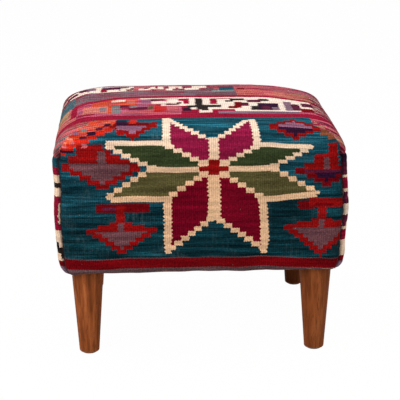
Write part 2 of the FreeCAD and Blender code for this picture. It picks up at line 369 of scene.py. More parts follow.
def woven_surface(finish, u, v, ink):
    """Uneven dye, ribs, wefts and lint over the woven colours."""
    dye = finish.clouds(finish.vector(u * 0.09, v), 0.13, 3.0)
    fine = finish.clouds(finish.vector(u * 0.6, v), 0.45, 2.0)
    rib = finish.math("SINE", u * (2 * math.pi / 3.3))
    weft = finish.math("SINE", v * (2 * math.pi / 2.1))
    paleness = finish.node("ShaderNodeRGBToBW", {}, {"Color": ink})
    uneven_dye = ((dye - 0.5) * 1.9 + (fine - 0.5) * 1.8) * (1.6 - paleness * 1.5)
    tone = uneven_dye + rib * 0.24 + weft * 0.06
    ink = finish.mix(1.0, ink, finish.math("POWER", 2.0, tone), "MULTIPLY")
    speck = finish.clouds(finish.vector(u, v), 0.33, 1.0)
    ink = finish.mix((speck > 0.8) * 0.5, ink, lint)
    # Painted shade along the corner seams' grooves, darkest at each seam
    seam = finish.node("ShaderNodeAttribute", {"attribute_name": "seam"}, {}, "Fac")
    ink = finish.mix(limit(seam * 1.2) * 0.85, ink, seam_shade)
    height = rib * 0.5 + weft * 0.25 + fine * 1.2
    return finish.surface(
        Base_Color=ink,
        Roughness=0.86,
        Specular_IOR_Level=0.02,
        Normal=finish.bump(height, 0.6, 0.0008),
    )


def kilim_strip_finish():
    """The long strip over the front, the seat and the back."""
    finish = Finish("kilim_strip")
    u, v, woven_u, woven_v, tooth = cloth_place(finish)
    near = woven_v < seat_end
    back = woven_v > back_start
    far = 1 - near - back
    figure_v = near * woven_v + back * (back_fold - woven_v) * 1.17 + far * (1444 - woven_v * 1.9)
    figure_u = (near * 2 - 1) * woven_u + back * 14 - far * 30
    # The teal darkens towards the front's bottom and towards the right: partly the yarn's uneven dye,
    # partly painted shade where less light falls
    depth = limit((figure_v - 60) * 0.0055 - (figure_u | 0) * 0.0012)
    ground = finish.mix(depth, teal_deep_shaded, teal_light)
    long_streak = finish.clouds(finish.vector(u * 0.05, v + 400), 0.16, 3.0, roughness=0.6)
    patch = finish.clouds(finish.vector(u * 0.6, v), 0.014, 1.0)
    thin_streak = finish.clouds(finish.vector(u * 0.035, v), 0.5, 2.0)
    tone = (long_streak - 0.5) * 6.6 + (patch - 0.5) * 2.6 + (thin_streak - 0.5) * 4.0 - 0.05
    ground = finish.mix(1.0, ground, finish.math("POWER", 2.0, tone), "MULTIPLY")
    worn = finish.clouds(finish.vector(u, v * 0.7), 0.022, 2.0)
    rubbed = finish.clouds(finish.vector(u * 1.3, v * 0.3), 0.16, 2.0)
    ground = finish.mix(limit((worn - 0.5) * 3) & limit((rubbed - 0.42) * 3), ground, teal_worn)
    loom = Loom(finish, figure_u, figure_v, tooth, ground)
    weave_left_figures(loom, figure_u, figure_v)
    weave_right_figures(loom, figure_u, figure_v)
    loom.star(19.3, 185.3)
    loom.lay(cerise, span(figure_v, figures_end, seat_start))
    hem_v = figure_v + (figure_u - 90 | 0) * 0.04
    loom.lay(hem_grey, hem_v < 34)
    loom.lay(crimson, span(hem_v, 16, 32.5))
    loom.streaks(figure_v < 12, (tan, 15, 0.6))
    weave_seat_edges(loom, figure_u, figure_v)
    weave_hook_band(loom, figure_u, figure_v)
    weave_plain_band(loom, figure_u, figure_v)
    far_loom = Loom(finish, u, v, tooth, loom.ink)
    weave_far_band(far_loom, u, v)
    return woven_surface(finish, u, v, far_loom.ink)


def weave_left_figures(loom, u, v):
    """The arrow, the hooked diamonds and the orange diagonal at the left."""
    loom.arrow(-133, 84, 62, 44, (-173, -86, 113, 128))
    loom.block(maroon, -162, -140, 117, 122)
    stair = steps(u, 12)
    band_low = v - stair * 0.6 - 341
    band_high = v - stair * 1.15 - 497
    left = u < -138
    above = (band_high > 0) & (u < -150)
    loom.lay(rose, above)
    loom.streaks(above, (mauve, 40, 0.55), (tan, 90, 0.59), (cerise, 150, 0.57), (grey_teal, 210, 0.6))
    diagonal = (band_low > 0) & (band_high < 0) & left
    loom.lay(orange, diagonal)
    loom.lay(scarlet, diagonal & (band_low < 13))
    loom.streaks(diagonal, (scarlet, 20, 0.5))
    loom.streaks(diagonal & (band_low > 12), (rose, 170, 0.57))
    loom.streaks(diagonal & (band_low > 20), (salmon, 240, 0.56))
    loom.diamond(-162, 189, 68, 31, 37, red, 19, below=mauve)
    loom.blocks(
        (red, -212, -165, 194, 207),
        (red, -200, -160, 205, 226),
        (mauve, -211, -118, 187, 195),
        (mauve, -168, -156, 193, 215),
        (rose, -208, -202, 228, 235),
        (rose, -192, -184, 221, 228),
        (violet, -181, -168, 247, 259),
        (maroon, -168, -158, 259, 268),
        (violet, -157, -147, 268, 277),
        (maroon, -193, -182, 240, 247),
        (lilac, -204, -194, 252, 264),
        (grey_teal, -190, -180, 262, 270),
        # Painted shadow under the cloth folding over at the top of the left seam, in violet
        (violet, -231, -203, 212, 216),
    )
    loom.diamond(-112, 268, 41, 14, 34, red, 14, below=lilac)
    loom.blocks(
        (lilac, -138, -98, 254, 266),
        (red, -138, -127, 243, 255),
        (crimson, -140, -85, 266, 280),
        (violet, -139, -121, 268, 290),
        (scarlet, -117, -106, 274, 294),
        (red, -83, -72, 260, 281),
    )


def weave_right_figures(loom, u, v):
    """The arrow and the hooked diamonds at the right."""
    loom.arrow(196, 86, 66, 54, (157, 182, 114, 128))
    loom.block(red, 174, 240, 117, 132)
    loom.block(crimson, 184, 214, 119, 124)
    loom.diamond(203, 179, 51, 10, 29, crimson, 17, below=violet)
    loom.blocks(
        (crimson, 151, 167, 173, 183),
        (red, 166, 185, 172, 192),
        (red, 182, 223, 180, 206),
        (red, 206, 222, 204, 222),
        (maroon, 166, 228, 175, 180),
        (mauve, 198, 208, 181, 201),
    )
    loom.diamond(152, 259, 45, 27, 28, red, 14, below=violet, above=lilac)
    corner = (v > 430 - u * 0.88) & span(v, 226, 300) & (u > 180)
    loom.lay(rose, corner)
    runs = (cerise, 60, 0.45), (maroon, 120, 0.54), (pink, 10, 0.57), (tan, 190, 0.59)
    loom.streaks(corner, *runs, fine=0.34)
    loom.block(rust, 192, 208, 240, 258)
    loom.block(rust, 205, 222, 229, 243)


def weave_seat_edges(loom, u, v):
    """The streaked borders where the seat rolls over to the sides."""
    on_seat = span(v, seat_start, seat_end)
    left = on_seat & (u < seat_left)
    loom.lay(salmon, left)
    loom.streaks(left, (rose, 30, 0.48), (mauve, 130, 0.56), fine=0.4)
    loom.lay(tan, left & span(v, 376, 424) & (u < -222))
    loom.lay(grey_teal, left & (v > 428) & (u < -213))
    loom.streaks(left & (v > 428), (teal_light, 230, 0.48), fine=0.4)
    loom.lay(cerise, left & span(v, 345, 430) & (u > -217))
    right = on_seat & (u > seat_right)
    loom.lay(ecru, right)
    loom.lay(rose, right & (v > 446))
    loom.streaks(right, (cerise, 70, 0.47), (maroon, 170, 0.54), (black, 220, 0.6), fine=0.36)
    loom.streaks(right & (v > 446), (ecru, 270, 0.57), fine=0.36)


def weave_hook_band(loom, u, v):
    """The band of hooks on the seat: an anchor in a cream chevron between blocks."""
    middle = span(u, seat_left, seat_right)
    in_band = span(v, seat_start, hooks_end) & middle
    loom.lay(pink, in_band)
    loom.streaks(in_band, (cerise, 310, 0.53), (lilac, 350, 0.57))
    loom.lay(cerise, in_band & span(u, -30, 62))
    loom.lay(ecru, in_band & (u > 62) & (v > 338))
    loom.lay(slate, span(v, seat_start, 338) & span(u, 32, 168))
    loom.blocks(
        (salmon, -196, -150, 345, 398),
        (orange, -182, -104, 396, 446),
        (orange, -154, -142, 336, 398),
        (grey_teal, -168, -156, 354, 388),
        (ecru, -148, -124, 424, 440),
        (salmon, -121, -107, 412, 432),
        (grey_teal, -147, -132, 338, 397),
        (maroon, -133, -116, 374, 398),
        (grey_teal, -117, -105, 377, 393),
        (maroon, -120, -86, 358, 377),
        (rose, -128, -34, 334, 352),
        (lilac, -104, -86, 378, 398),
        (olive, -85, -76, 360, 388),
        (scarlet, -75, -54, 338, 396),
        (rose, -54, -35, 345, 380),
        (cerise, -72, -62, 384, 405),
        (lilac, -98, -80, 408, 438),
        (ecru, -80, -58, 398, 420),
        (ecru, -64, -3, 380, 420),
        (ecru, -100, 126, 438, 450),
        (ecru, -14, 22, 352, 440),
        (ecru, -52, -32, 414, 436),
        (black, -81, -57, 421, 438),
        (black, -54, -33, 388, 402),
        (black, -36, -28, 398, 410),
        (ecru, -47, -38, 400, 410),
        (cerise, -24, -14, 396, 432),
        (violet, -28, -14, 342, 364),
        (ecru, 0, 22, 330, 352),
        (ecru, 22, 62, 352, 400),
        (ecru, 34, 64, 396, 432),
        (cerise, 22, 34, 392, 438),
        (black, -4, 9, 350, 440),
        (black, -20, 4, 366, 382),
        (black, 4, 40, 366, 384),
        (black, 3, 16, 344, 368),
        (black, 57, 82, 419, 436),
        (black, 48, 62, 408, 420),
        (black, 106, 124, 414, 432),
        (maroon, 84, 110, 404, 424),
        (crimson, 62, 74, 362, 406),
        (maroon, 74, 86, 374, 400),
        (crimson, 52, 66, 358, 374),
        (black, 89, 102, 346, 374),
        (violet, 101, 138, 346, 398),
        (maroon, 108, 122, 352, 374),
        (slate, 125, 138, 346, 368),
        (slate, 148, 162, 344, 416),
        (maroon, 160, 174, 346, 398),
        (crimson, 172, 196, 336, 364),
        (maroon, 178, 200, 378, 412),
    )
    at_left = in_band & (u < -30)
    loom.streaks(at_left, (pink, 410, 0.6), (maroon, 450, 0.63), (cerise, 490, 0.61))


def weave_plain_band(loom, u, v):
    """The crimson stripe and the streaked band behind the hooks, both a little askew."""
    right_fall = (u - 120 | 0) * 0.25
    left_fall = (-140 - u | 0) * 0.45
    askew = v + right_fall + left_fall
    reach = span(u, -213, 262) & (v < seat_end)
    in_band = (askew > 466) & reach
    loom.lay(cerise, span(askew, 448, 467) & reach)
    loom.lay(slate, in_band & (u < 205))
    loom.streaks(in_band & (u < 72), (mauve, 10, 0.5))
    loom.streaks(in_band & (u < 0), (grey_teal, 60, 0.56))
    loom.streaks(in_band & (u < -20), (cerise, 120, 0.55))
    salmon_side = in_band & span(u, 72, 205)
    loom.lay(rose, salmon_side)
    loom.streaks(salmon_side, (salmon, 30, 0.5), (cerise, 80, 0.53), fine=0.26)
    loom.streaks(salmon_side & (u > 140), (tan, 140, 0.55), fine=0.26)
    loom.block(grey_teal, 31, 71, 504, seat_end)


def weave_far_band(loom, u, v):
    """The cream and crimson points along the seat's far edge."""
    edge = span(v, 527, 584)
    loom.lay(rose, edge & span(u, -110, 215))
    loom.lay(cerise, edge & span(u, -80, 30))
    loom.streaks(edge & (u > -110), (slate, 40, 0.54), fine=0.26)
    loom.streaks(edge & (u > 30), (cerise, 90, 0.54), fine=0.26)
    loom.blocks(
        (ecru, -190, -170, 536, 552),
        (cerise, -170, -158, 530, 560),
        (ecru, -158, -137, 530, 548),
        (ecru, -134, -124, 538, 562),
        (crimson, -123, -110, 530, 548),
        (ecru, -101, -79, 532, 552),
        (maroon, -92, -84, 546, 556),
        (ecru, -79, -56, 543, 572),
        (cerise, -71, -66, 550, 572),
        (ecru, -52, -40, 530, 549),
        (ecru, -46, -22, 549, 574),
        (crimson, -34, -29, 549, 562),
        (ecru, -18, 8, 532, 552),
        (ecru, -4, 22, 550, 576),
        (mauve, 20, 34, 530, 546),
        (teal_light, 44, 71, 524, 562),
        (crimson, 76, 90, 530, 546),
    )


def kilim_side_finish():
    """The two side panels, with their wefts level."""
    finish = Finish("kilim_side")
    u, v, woven_u, woven_v, tooth = cloth_place(finish)
    right = u > 3000
    along = finish.math("FLOORED_MODULO", woven_u + 1000, 2000) - 1000
    period = finish.math("FLOORED_MODULO", along + 272 + right * 40, 112) - 56
    across = abs(period)
    panel_v = woven_v * 0.96
    middle_v = 105
    height = abs(panel_v - middle_v)
    level = steps(height, 7)
    loom = Loom(finish, across, panel_v, tooth, panel_cream)

    def either(left_colour, right_colour):
        return finish.mix(right, left_colour, right_colour)

    ink_red = either(cerise, crimson)
    ink_fill = either(panel_cream, mauve)
    loom.lay(ink_red, (across < 47 - level * 0.5) & (height < 28))
    loom.lay(ink_fill, span(across, 5, 14) & (height < 17))
    loom.lay(violet, (across < 4) & (height < 10))
    upper = panel_v > middle_v
    loom.lay(black, upper & (across < 38) & span(height, 42, 50))
    lower = 1 - upper
    hook = abs(height - 78 + steps(across, 9) * 0.9) < 9
    loom.lay(black, lower & hook & span(across, 0, 40))
    loom.lay(ink_red, (across < 10) & span(height, 54, 70))
    loom.lay(either(teal_light, maroon), (across > 40 + level * 0.5) & (height < 40 - right * 10))
    loom.lay(either(orange, cream_pale), (across > 50 - right * 9) & (height < 9))
    loom.lay(either(slate, cerise), (across > 43) & span(height + right * 20, 53, 71))
    loom.lay(either(cerise, maroon), (panel_v > 168 - right * 8) & (panel_v < 181))
    loom.lay(either(teal_light, violet), panel_v > 181)
    loom.lay(crimson, span(panel_v, 18, 27))
    loom.lay(slate, panel_v < 18)
    return woven_surface(finish, u, v, loom.ink)


def stained_leg_finish():
    finish = Finish("stained_leg_wood")
    place = finish.place((1, 1, 0.055))
    grain = finish.clouds(place, 120, 5.0, roughness=0.6)
    broad = finish.clouds(place, 28, 2.0)
    pores = finish.clouds(finish.place((1, 1, 0.03)), 620, 2.0)
    share = grain * 0.7 + broad * 0.45 - 0.08
    colour = finish.ramp(share, (
        (0.32, (0.080, 0.021, 0.006, 1)),
        (0.48, (0.27, 0.069, 0.018, 1)),
        (0.66, (0.50, 0.150, 0.044, 1)),
    ))
    colour = finish.mix((pores > 0.62) * 0.55, colour, pore_brown)
    across, along, height = finish.parts(finish.place())
    # Painted shade: the right and back legs darker, and each leg's top darker under the body; the legs
    # also darken towards the foot
    top_and_foot = limit(1 - height * 8) * 0.16 + limit(height * 16 - 1.7) * 0.25
    leg_painted_shade = (across > 0) * 0.36 + (along > 0) * 0.3 + top_and_foot
    colour = finish.mix(leg_painted_shade, colour, painted_shade_brown)
    colour = finish.mix((height < 0.0045) * 0.5, colour, bare_wood)
    return finish.surface(
        Base_Color=colour,
        Roughness=0.5 + grain * 0.25,
        Specular_IOR_Level=0.04,
        Normal=finish.bump(grain * 0.6 + pores * 0.6, 0.25, 0.0004),
    )


def pale_wood_finish(name, dark, light, stretch):
    finish = Finish(name)
    grain = finish.clouds(finish.place(stretch), 90, 4.0, roughness=0.6)
    colour = finish.ramp(grain, ((0.3, dark), (0.5, light), (0.72, dark)))
    return finish.surface(
        Base_Color=colour,
        Roughness=0.6 + grain * 0.2,
        Normal=finish.bump(grain, 0.2, 0.0005),
    )


def soft_finish(name, dark, light, scale, strength, distance):
    finish = Finish(name)
    grain = finish.clouds(finish.place(), scale, 3.0)
    return finish.surface(
        Base_Color=finish.ramp(grain, ((0.3, dark), (0.7, light))),
        Roughness=0.88 + grain * 0.1,
        Specular_IOR_Level=0.2,
        Normal=finish.bump(grain, strength, distance),
    )


def metal_finish(name, dark, light, rough):
    finish = Finish(name)
    marks = finish.clouds(finish.place(), 260, 3.0)
    return finish.surface(
        Base_Color=finish.ramp(marks, ((0.35, dark), (0.65, light))),
        Metallic=1.0,
        Roughness=rough + marks * 0.2,
        Normal=finish.bump(marks, 0.15, 0.0002),
    )


def fade(low, high, value):
    """0 below low, 1 above high, smooth between."""
    share = np.clip((value - low) / (high - low), 0, 1)
    return share * share * (3 - 2 * share)


def bell(distance, reach):
    """1 at no distance, falling off smoothly beyond the reach."""
    return np.exp(-(distance / reach) ** 2)


def body_rows(depth, wall_steps, roll_steps, hem_steps=0):
    """Rows (inset, height, corner radius) up the body, moved inwards by depth."""
    rows = []
    for step in range(hem_steps):
        inset = hem_inset - (hem_inset - bottom_roll) * step / hem_steps
        rows.append((inset, clearance, max(corner_radius - inset, 0.003)))
    low_roll = bottom_roll - depth
    fold_steps = 6
    for step in range(fold_steps):
        turn = 0.5 * math.pi * step / fold_steps
        inset = bottom_roll - low_roll * math.sin(turn)
        rows.append((inset, wall_low - low_roll * math.cos(turn), corner_radius - inset))
    seam_shares = (0.968, 0.984) if hem_steps else ()
    for share in sorted([step / wall_steps for step in range(wall_steps)] + list(seam_shares)):
        bulge = side_bulge * 0.5 * (1 - math.cos(2 * math.pi * share))
        height = wall_low + share * (roll_centre - wall_low)
        rows.append((depth - bulge, height, corner_radius - depth))
    roll = top_roll - depth
    for step in range(roll_steps + 1):
        turn = (0.5 * math.pi - crown_slope) * step / roll_steps
        inset = top_roll - roll * math.cos(turn)
        corner = corner_radius - depth + corner_growth * (inset - depth)
        rows.append((inset, roll_centre + roll * math.sin(turn), corner))
    return rows


def quads(grid):
    """The four corners of each cell of a grid, row by row."""
    cells = np.stack([grid[:-1, :-1], grid[:-1, 1:], grid[1:, 1:], grid[1:, :-1]], 2)
    return cells.reshape(-1, 4, *grid.shape[2:])


def ring_faces(start, rings, count):
    """Faces between closed rings of points."""
    grid = start + np.arange(rings * count).reshape(rings, count)
    return quads(np.hstack([grid, grid[:, :1]])).tolist()


class Form:
    """Rings round the body, split at the corner diagonals, with a crowned top grid."""

    def __init__(self, rows, wide, deep, rise):
        self.rows = rows
        self.wide = wide
        self.deep = deep
        self.count = 2 * (wide + deep)
        self.shares = [self.even_shares(wide), self.even_shares(deep)] * 2
        rings = [self.ring(*row) for row in rows]
        self.walls = np.array([ring for ring, travel, gap in rings])
        self.travel = [travel for ring, travel, gap in rings]
        self.gap = np.array([gap for ring, travel, gap in rings])
        self.top = self.cap(self.walls[-1], rise, rows[-1])

    @staticmethod
    def even_shares(count):
        """Places along one side, closer together near the corners."""
        even = np.linspace(-1, 1, count + 1)
        return even + 0.45 * np.sin(math.pi * even) / math.pi

    def ring(self, inset, height, corner):
        reaches = [half_width - inset, half_depth - inset]
        points, travels, gaps = [], [], []
        for side, shares in enumerate(self.shares):
            reach, out = reaches[side % 2], reaches[1 - side % 2]
            straight = reach - corner
            length = straight + corner * math.pi / 4
            travel = shares * length
            turn = np.clip((np.abs(travel) - straight) / corner, 0, None)
            along = np.where(turn > 0, np.sign(travel) * (straight + corner * np.sin(turn)), travel)
            outward = out - corner * (1 - np.cos(turn))
            x, y = ((along, -outward), (outward, along), (-along, outward), (-outward, -along))[side]
            points.append(np.stack([x, y, np.full_like(x, height)], 1)[:-1])
            travels.append((travel, length))
            gaps.append((length - np.abs(travel))[:-1])
        return np.concatenate(points), travels, np.concatenate(gaps)

    def cap(self, ring, rise, last_row):
        """The inner points of the top, spread between the ring's four sides."""
        front = ring[:self.wide + 1]
        right = ring[self.wide:self.wide + self.deep + 1]
        back = ring[self.wide + self.deep:2 * self.wide + self.deep + 1][::-1]
        left = np.concatenate([ring[2 * self.wide + self.deep:], ring[:1]])[::-1]
        s = ((self.shares[0] + 1) / 2)[:, None, None]
        t = ((self.shares[1] + 1) / 2)[None, :, None]
        sides = (1 - t) * front[:, None] + t * back[:, None] + (1 - s) * left[None] + s * right[None]
        twice = ((1 - s) * (1 - t) * front[0] + s * (1 - t) * front[-1]
                 + (1 - s) * t * back[0] + s * t * back[-1])
        grid = sides - twice
        reach_x, reach_y = half_width - last_row[0], half_depth - last_row[0]
        swell = (1 - np.abs(grid[..., 0] / reach_x) ** 3) * (1 - np.abs(grid[..., 1] / reach_y) ** 3)
        grid[..., 2] += rise * np.clip(swell, 0, 1)
        return grid

    def slump(self):
        for points in (self.walls.reshape(-1, 3), self.top.reshape(-1, 3)):
            slump(points)

    def vertices(self):
        return np.concatenate([self.walls.reshape(-1, 3), self.top[1:-1, 1:-1].reshape(-1, 3)])

    def faces(self):
        """Wall faces row by row, then the top's."""
        wide, deep, last = self.wide, self.deep, (len(self.rows) - 1) * self.count
        top = np.empty((wide + 1, deep + 1), int)
        inside = np.arange((wide - 1) * (deep - 1)).reshape(wide - 1, -1)
        top[1:-1, 1:-1] = last + self.count + inside
        top[0] = last + self.count - np.arange(deep + 1)
        top[-1] = last + wide + np.arange(deep + 1)
        top[:, -1] = last + 2 * wide + deep - np.arange(wide + 1)
        top[:, 0] = last + np.arange(wide + 1)
        return ring_faces(0, len(self.rows), self.count) + quads(top)[:, top_order].tolist()


def mesh_object(name, vertices, faces):
    mesh = bpy.data.meshes.new(name)
    mesh.from_pydata([tuple(v) for v in vertices], [], faces)
    mesh.update()
    made = bpy.data.objects.new(name, mesh)
    bpy.context.scene.collection.objects.link(made)
    return made


def work_on(piece):
    """Makes the piece the only one selected, and active."""
    bpy.ops.object.select_all(action="DESELECT")
    piece.select_set(True)
    bpy.context.view_layer.objects.active = piece


def apply_modifier(piece, kind, **settings):
    work_on(piece)
    modifier = piece.modifiers.new(kind.lower(), kind)
    for name, value in settings.items():
        setattr(modifier, name, value)
    bpy.ops.object.modifier_apply(modifier=modifier.name)


def placed(name, scale=(1, 1, 1)):
    """Names the shape just added, and applies its place and scale."""
    made = bpy.context.object
    made.name = name
    made.scale = scale
    bpy.ops.object.transform_apply(location=True, rotation=True, scale=True)
    return made


def bevel_edges(offset, segments):
    """Softens all edges of the active piece."""
    bpy.ops.object.mode_set(mode="EDIT")
    bpy.ops.mesh.select_all(action="SELECT")
    bpy.ops.mesh.bevel(offset=offset, segments=segments)
    bpy.ops.object.mode_set(mode="OBJECT")


def finished(piece, body, slot, nodes, *materials):
    """Gives the piece its finish, and its place in the CAD frame."""
    for material in materials:
        piece.data.materials.append(material)
    work_on(piece)
    bpy.ops.object.shade_smooth_by_angle(angle=math.radians(40))
    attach(piece, body)
    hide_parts(*nodes)


def onto_leg_rims(points, reach, chosen=True):
    """Draws the chosen points within reach of a leg's middle onto the circle round it."""
    for sx, sy in corners.values():
        centre = np.array([sx * leg_x, sy * leg_y])
        away = points[:, :2] - centre
        distance = np.maximum(np.linalg.norm(away, axis=1), 1e-6)
        close = chosen & (distance < reach)
        points[close, :2] = centre + (away * (leg_room / distance)[:, None])[close]


def line_lengths(line):
    """Length along a line of points, up to each of them."""
    return np.concatenate([[0], np.cumsum(np.linalg.norm(np.diff(line, axis=0), axis=1))])


def cloth_lengths(rows):
    """Cloth length up the wall at each row, from the bottom fold."""
    lengths = line_lengths(np.array(rows)[:, :2])
    fold = next(i for i, row in enumerate(rows) if row[0] <= bottom_roll + 1e-9)
    return lengths - lengths[fold]


def strip_map(form, lengths):
    """Cloth places along each row: the strip in front and behind, the seat's edge at the sides."""
    inset, unused, corner = form.rows[-1]
    seat_line = lengths[-1] + half_depth - inset
    maps = []
    for row, length in enumerate(lengths):
        drop = lengths[-1] - length
        share = float(fade(0.055, 0.005, np.array(drop)))
        sides = []
        for side in range(4):
            travel, reach = form.travel[row][side]
            inner = (half_width if side % 2 == 0 else half_depth) - inset - corner
            turn = np.clip((np.abs(travel) - inner) / (reach - inner), 0, 1) * math.pi / 4
            spread = np.minimum(np.abs(travel), inner) + (corner + drop) * np.sin(turn)
            along = np.sign(travel) * spread
            lift = (corner + drop) * (1 - np.cos(turn))
            if side % 2 == 0:
                u = share * along + (1 - share) * travel
                v = length + share * lift
                sides.append((u, v) if side == 0 else (-u, 2 * seat_line - v))
            else:
                out = half_width - inset + drop - lift
                sides.append((out, seat_line + along) if side == 1 else (-out, seat_line - along))
        maps.append(sides)
    return maps, seat_line


def panel_map(form, lengths, row, side):
    """Cloth places along one row of a side panel; the panels start far from the strip and each other."""
    travel = form.travel[row][side][0]
    along = 4.0 + travel if side == 1 else 2.0 - travel
    return along, np.full(len(travel), lengths[row])


def map_cloth(cover, form, lengths, panel_top, maps, seat_line):
    """Gives each face its place on the cloth, and its material: the strip's or the panels'."""
    places = []
    materials = []
    for row in range(len(form.rows) - 1):
        for side in range(4):
            on_panel = side % 2 == 1 and row < panel_top
            low, high = maps[row][side], maps[row + 1][side]
            if on_panel:
                low, high = (panel_map(form, lengths, line, side) for line in (row, row + 1))
            cells = quads(np.transpose([low, high], (0, 2, 1)))
            places.append(cells.reshape(-1))
            materials += [int(on_panel)] * len(cells)
    flat = form.flat_top[..., :2] + np.array([0, seat_line])
    places.append(quads(flat)[:, top_order].reshape(-1))
    materials += [0] * (form.wide * form.deep)
    layer = cover.data.uv_layers.new(name="cloth")
    layer.data.foreach_set("uv", np.concatenate(places).astype(np.float32))
    cover.data.polygons.foreach_set("material_index", np.array(materials, dtype=np.int32))


def kilim_cover(materials):
    rows = body_rows(0.0, 38, 20, hem_steps=hem_rows)
    form = Form(rows, 112, 98, crown_rise)
    lengths = cloth_lengths(rows)
    panel_top = next(i for i, length in enumerate(lengths) if length > panel_height)
    maps, seat_line = strip_map(form, lengths)
    shape_cover(form, lengths, lengths[panel_top])
    points = form.vertices()
    onto_leg_rims(points[:(hem_rows + 3) * form.count], leg_room)
    cover = mesh_object("kilim_upholstery", points, form.faces())
    map_cloth(cover, form, lengths, panel_top, maps, seat_line)
    shade = np.zeros(len(points), dtype=np.float32)
    shade[:form.seam.size] = form.seam.reshape(-1)
    attribute = cover.data.attributes.new("seam", "FLOAT", "POINT")
    attribute.data.foreach_set("value", shade)
    apply_modifier(cover, "SOLIDIFY", thickness=cloth_thickness, offset=-1)
    seam_places = (0, form.wide, form.wide + form.deep, -form.deep)
    seam_stitches([form.walls[hem_rows:panel_top + 1, k] for k in seam_places], thread_grain)
    finished(cover, "frame", "kilim", ["kilim_cover"], *materials)


def seam_stitches(seams, material):
    """Sewing thread that zigzags up the bottom of each corner seam."""
    points, faces = [], []
    round_count = 6
    for seam in seams:
        lengths = line_lengths(seam)
        places = np.arange(0.004, lengths[-1] - 0.002, 0.001)
        line = np.stack([np.interp(places, lengths, seam[:, axis]) for axis in range(3)], 1)
        out = np.sign(line[0, :2]) / math.sqrt(2)
        across = np.array([-out[1], out[0], 0])
        swing = thread_swing * np.sin(places * 2 * math.pi / stitch_length)
        line += swing[:, None] * across
        line[:, :2] += out * thread_radius * 0.6
        start = len(points)
        turn = (np.arange(round_count) * 2 * math.pi / round_count)[:, None]
        ring = np.cos(turn) * across + np.sin(turn) * np.array([*out, 0])
        points += list((line[:, None] + thread_radius * ring).reshape(-1, 3))
        faces += ring_faces(start, len(line), round_count)
        last = start + (len(line) - 1) * round_count
        faces.append(tuple(range(start, start + round_count))[::-1])
        faces.append(tuple(range(last, last + round_count)))
    thread = mesh_object("seam_stitches", points, faces)
    finished(thread, "frame", "thread", ["corner_seam_threads"], material)


def shape_cover(form, lengths, panel_top):
    """Pinches the seams, droops the hem and adds the small unevenness of hand upholstery."""
    form.flat_top = form.top.copy()
    walls = form.walls
    height = walls[..., 2]
    gap = form.gap
    inward = -np.sign(walls[..., :2]) / math.sqrt(2)
    length = np.repeat(lengths[:, None], form.count, 1)
    on_wall = fade(-0.004, 0.012, length)
    under_tuck = fade(0.364, 0.346, height)
    tuck = bell(height - 0.350, 0.009)
    depth = (0.0052 + 0.0045 * tuck) * bell(gap, 0.0042) * under_tuck * on_wall
    pucker = 0.0007 * np.sin(height * 2 * math.pi / 0.015) * np.exp(-gap / 0.016) * under_tuck * on_wall
    walls[..., :2] += inward * (depth + pucker)[..., None]
    # How strongly painted shade darkens the cloth along each corner seam, passed to the shader as the
    # seam attribute
    form.seam = bell(gap, 0.0030 + 0.0030 * tuck) * under_tuck * on_wall
    side = np.zeros(form.count, bool)
    side[form.wide + 3:form.wide + form.deep - 2] = True
    side[2 * form.wide + form.deep + 3:-2] = True
    crease = 0.0022 * bell(length - panel_top, 0.0035) * side[None]
    walls[..., 0] -= np.sign(walls[..., 0]) * crease
    droop = fade(0.03, 0.0, length) * (0.0030 * bell(gap, 0.024))
    walls[..., 2] -= droop * (walls[..., 0] < 0)
    form.slump()
    for points in (walls.reshape(-1, 3), form.top.reshape(-1, 3)):
        uneven(points)


def slump(points):
    """The seat's own lean: fuller at the upper left, lower behind, drawn in at both sides' feet."""
    x, y, z = points[:, 0].copy(), points[:, 1].copy(), points[:, 2].copy()
    full = fade(0.285, 0.335, z) * fade(0.401, 0.372, z) * fade(-0.13, -0.22, x)
    points[:, 0] -= 0.0045 * full
    drawn_in = 0.002 * bell(z - 0.215, 0.03) + 0.0045 * fade(0.178, 0.15, z)
    points[:, 0] -= drawn_in * fade(0.17, 0.225, x)
    points[:, 0] += 0.0045 * fade(0.174, 0.15, z) * fade(-0.17, -0.225, x)
    on_top = fade(0.33, 0.385, z)
    points[:, 2] -= 0.0025 * on_top * fade(-0.02, 0.12, y)
    points[:, 2] -= 0.0065 * on_top * fade(0.10, 0.2, x) * fade(-0.08, 0.12, y)


def uneven(points):
    """Small soft lumps, the same on every run."""
    hem_reach = 0.03
    for point in points:
        place = Vector(point)
        lump = 0.0011 * noise.noise(place * 17) + 0.00035 * noise.noise(place * 70)
        out = Vector((point[0] / half_width, point[1] / half_depth, (point[2] - 0.3) * 9)).normalized()
        near_hem = max(0.0, 1 - (point[2] - clearance) / hem_reach)
        sag = 0.0016 * noise.noise(place * 26 + Vector((3, 5, 7))) * near_hem
        point += np.array(out * lump)
        point[2] += min(sag, 0.0007) if point[2] < clearance + hem_reach else 0.0


def stuffing(material_foam, material_wadding):
    """The foam on the deck, and the wadding over everything."""
    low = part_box("seat_foam")[0].z
    foam_depth = 0.0086
    edge = 0.002
    rows = [row for row in body_rows(foam_depth, 30, 8) if row[1] > low + 2 * edge]
    first = rows[0]
    rows = [(first[0] + edge, low, first[2]), (first[0], low + edge, first[2])] + rows
    foam_form = Form(rows, 40, 36, crown_rise)
    foam_form.slump()
    faces = foam_form.faces() + [tuple(range(foam_form.count))[::-1]]
    foam = mesh_object("foam_block", foam_form.vertices(), faces)
    finished(foam, "frame", "foam", ["seat_foam"], material_foam)
    rows = [row for row in body_rows(0.0033, 16, 8) if row[1] > clearance + 0.0032]
    wadding_form = Form(rows, 44, 40, crown_rise)
    hollow = 0.009 * bell(wadding_form.gap, 0.012)
    wadding_form.walls[..., :2] -= np.sign(wadding_form.walls[..., :2]) * hollow[..., None]
    wadding_form.slump()
    wadding = mesh_object("wadding_layer", wadding_form.vertices(), wadding_form.faces())
    apply_modifier(wadding, "SOLIDIFY", thickness=0.005, offset=-1)
    finished(wadding, "frame", "wadding", ["wadding"], material_wadding)


